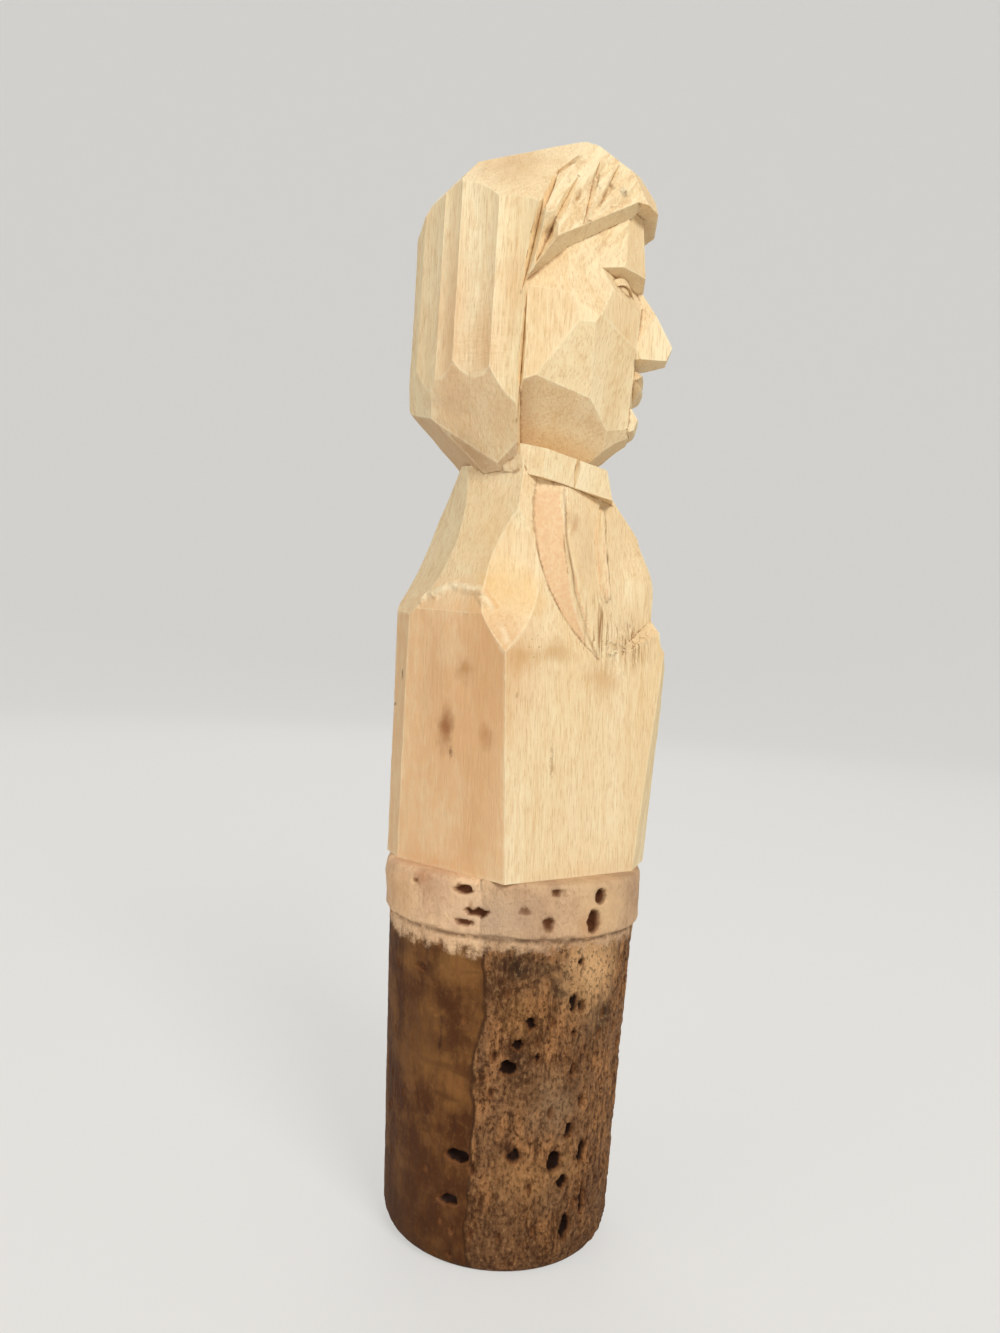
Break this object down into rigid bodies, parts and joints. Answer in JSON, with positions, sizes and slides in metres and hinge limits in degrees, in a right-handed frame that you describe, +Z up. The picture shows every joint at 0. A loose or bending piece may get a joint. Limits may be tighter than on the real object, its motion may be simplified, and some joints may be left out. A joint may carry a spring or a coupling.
{
  "type": "bottle stopper",
  "caption": "Carved wooden bust glued on a natural cork, used to stop a bottle.",
  "frame": {"origin": "centre of the cork's flat foot", "axes": "+Z up the stopper from the cork's foot to the crown, +X the way the figure faces"},
  "size_m": [0.0259, 0.0262, 0.099],
  "materials": {
    "carved_wood": "bare pale basswood, knife cut, unsanded",
    "dowel_wood": "bare beech dowel",
    "cork": "natural bark cork, stained by wine below the clean band"
  },
  "bodies": {
    "root": {"carved_bust": "carved_wood", "joining_dowel": "dowel_wood", "cork": "cork"}
  },
  "joints": []
}
